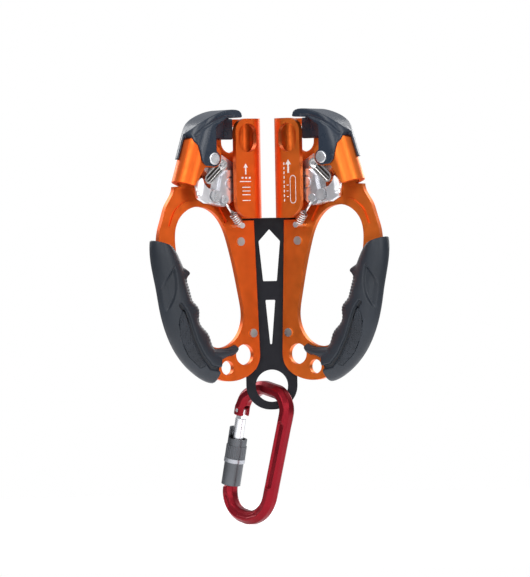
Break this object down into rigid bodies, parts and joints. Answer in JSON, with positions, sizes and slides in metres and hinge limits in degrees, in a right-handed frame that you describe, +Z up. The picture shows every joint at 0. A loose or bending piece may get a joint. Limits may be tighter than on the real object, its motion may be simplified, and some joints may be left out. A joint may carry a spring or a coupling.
{
  "type": "twin ascender",
  "caption": "Twin handled ascender: two mirrored rope clamps with toothed cams, thumb levers and moulded grips on a rear plate, with a locking carabiner in its eye.",
  "frame": {"origin": "midway between the two rope axes, at the height where the cams grip the ropes", "axes": "+Z up along the ropes, +Y towards the back plate, +X to the viewer's right when the grips face the viewer"},
  "size_m": [0.167, 0.0943, 0.2912],
  "materials": {
    "anodised_left": "satin anodised, red-orange",
    "anodised_right": "satin anodised, orange",
    "cover": "smooth moulded, slate",
    "grip": "matt moulded, slate",
    "grip_insert": "textured",
    "bright_steel": "polished",
    "cam_steel": "polished casting",
    "lever_steel": "bright casting",
    "strip_steel": "bright edges",
    "spring_steel": "bright wire",
    "rivet_steel": "dark",
    "rear_plate": "black anodised",
    "carabiner": "satin anodised, crimson",
    "gate": "bright",
    "sleeve": "gunmetal anodised",
    "sleeve_ring": "bright"
  },
  "bodies": {
    "frame": {"rear_plate": "rear_plate", "channel_right": "anodised_right", "palm_rest_right": "anodised_right", "web_right": "anodised_right", "handle_right": "anodised_right", "foot_right": "anodised_right", "palm_cover_right": "cover", "grip_right": "grip", "grip_insert_right": "grip_insert", "cam_axle_right": "bright_steel", "axle_bush_right": "bright_steel", "cam_spring_right": "spring_steel", "spring_anchor_right": "bright_steel", "plate_rivets_right": "rivet_steel", "channel_left": "anodised_left", "palm_rest_left": "anodised_left", "web_left": "anodised_left", "handle_left": "anodised_left", "foot_left": "anodised_left", "palm_cover_left": "cover", "grip_left": "grip", "grip_insert_left": "grip_insert", "cam_axle_left": "bright_steel", "axle_bush_left": "bright_steel", "cam_spring_left": "spring_steel", "spring_anchor_left": "bright_steel", "plate_rivets_left": "rivet_steel"},
    "cam_right": {"cam_right": "cam_steel", "lever_pin_right": "bright_steel", "spring_pin_right": "bright_steel", "catch_pin_right": "bright_steel"},
    "lever_right": {"lever_right": "lever_steel"},
    "catch_right": {"safety_catch_right": "strip_steel"},
    "cam_left": {"cam_left": "cam_steel", "lever_pin_left": "bright_steel", "spring_pin_left": "bright_steel", "catch_pin_left": "bright_steel"},
    "lever_left": {"lever_left": "lever_steel"},
    "catch_left": {"safety_catch_left": "strip_steel"},
    "carabiner": {"carabiner_body": "carabiner", "gate_pin": "bright_steel"},
    "gate": {"carabiner_gate": "gate", "sleeve_spring": "spring_steel"},
    "sleeve": {"sleeve": "sleeve", "sleeve_ring": "sleeve_ring"}
  },
  "joints": [
    {"name": "cam_right_pivot", "type": "hinge", "parent": "frame", "child": "cam_right", "pos_m": [0.04401, -0.01819, 0.015], "axis": [-0.5446, -0.8387, 0], "range_deg": [-8, 24], "stiffness_Nm_per_rad": 0.5, "springref_deg": -1.15, "deforming": ["cam_spring_right"]},
    {"name": "lever_right_pivot", "type": "hinge", "parent": "cam_right", "child": "lever_right", "pos_m": [0.04032, -0.01579, -0.0108], "axis": [0.5446, 0.8387, 0], "range_deg": [0, 12], "stiffness_Nm_per_rad": 0.05, "springref_deg": -2.86},
    {"name": "catch_right_pivot", "type": "hinge", "parent": "cam_right", "child": "catch_right", "pos_m": [0.03521, -0.01247, 0.011], "axis": [0.5446, 0.8387, 0], "range_deg": [0, 6]},
    {"name": "cam_left_pivot", "type": "hinge", "parent": "frame", "child": "cam_left", "pos_m": [-0.04401, -0.01819, 0.015], "axis": [-0.5446, 0.8387, 0], "range_deg": [-8, 24], "stiffness_Nm_per_rad": 0.5, "springref_deg": -1.15, "deforming": ["cam_spring_left"]},
    {"name": "lever_left_pivot", "type": "hinge", "parent": "cam_left", "child": "lever_left", "pos_m": [-0.04032, -0.01579, -0.0108], "axis": [0.5446, -0.8387, 0], "range_deg": [0, 12], "stiffness_Nm_per_rad": 0.05, "springref_deg": -2.86},
    {"name": "catch_left_pivot", "type": "hinge", "parent": "cam_left", "child": "catch_left", "pos_m": [-0.03521, -0.01247, 0.011], "axis": [0.5446, -0.8387, 0], "range_deg": [0, 6]},
    {"name": "carabiner_swing", "type": "hinge", "parent": "frame", "child": "carabiner", "pos_m": [0, 0.0178, -0.1443], "axis": [0, 1, 0], "range_deg": [-20, 20]},
    {"name": "gate_pivot", "type": "hinge", "parent": "carabiner", "child": "gate", "pos_m": [-0.02141, 0.04076, -0.16143], "axis": [-0.7314, -0.682, 0], "range_deg": [0, 25], "stiffness_Nm_per_rad": 0.08, "springref_deg": -5.73},
    {"name": "sleeve_turn", "type": "hinge", "parent": "gate", "child": "sleeve", "pos_m": [-0.02744, 0.04722, -0.19685], "axis": [0.165, -0.1769, 0.9703], "range_deg": [-90, 0]}
  ],
  "couplings": [
    {"joint": "catch_right_pivot", "follows": "lever_right_pivot", "ratio": 0.5},
    {"joint": "catch_left_pivot", "follows": "lever_left_pivot", "ratio": 0.5}
  ]
}
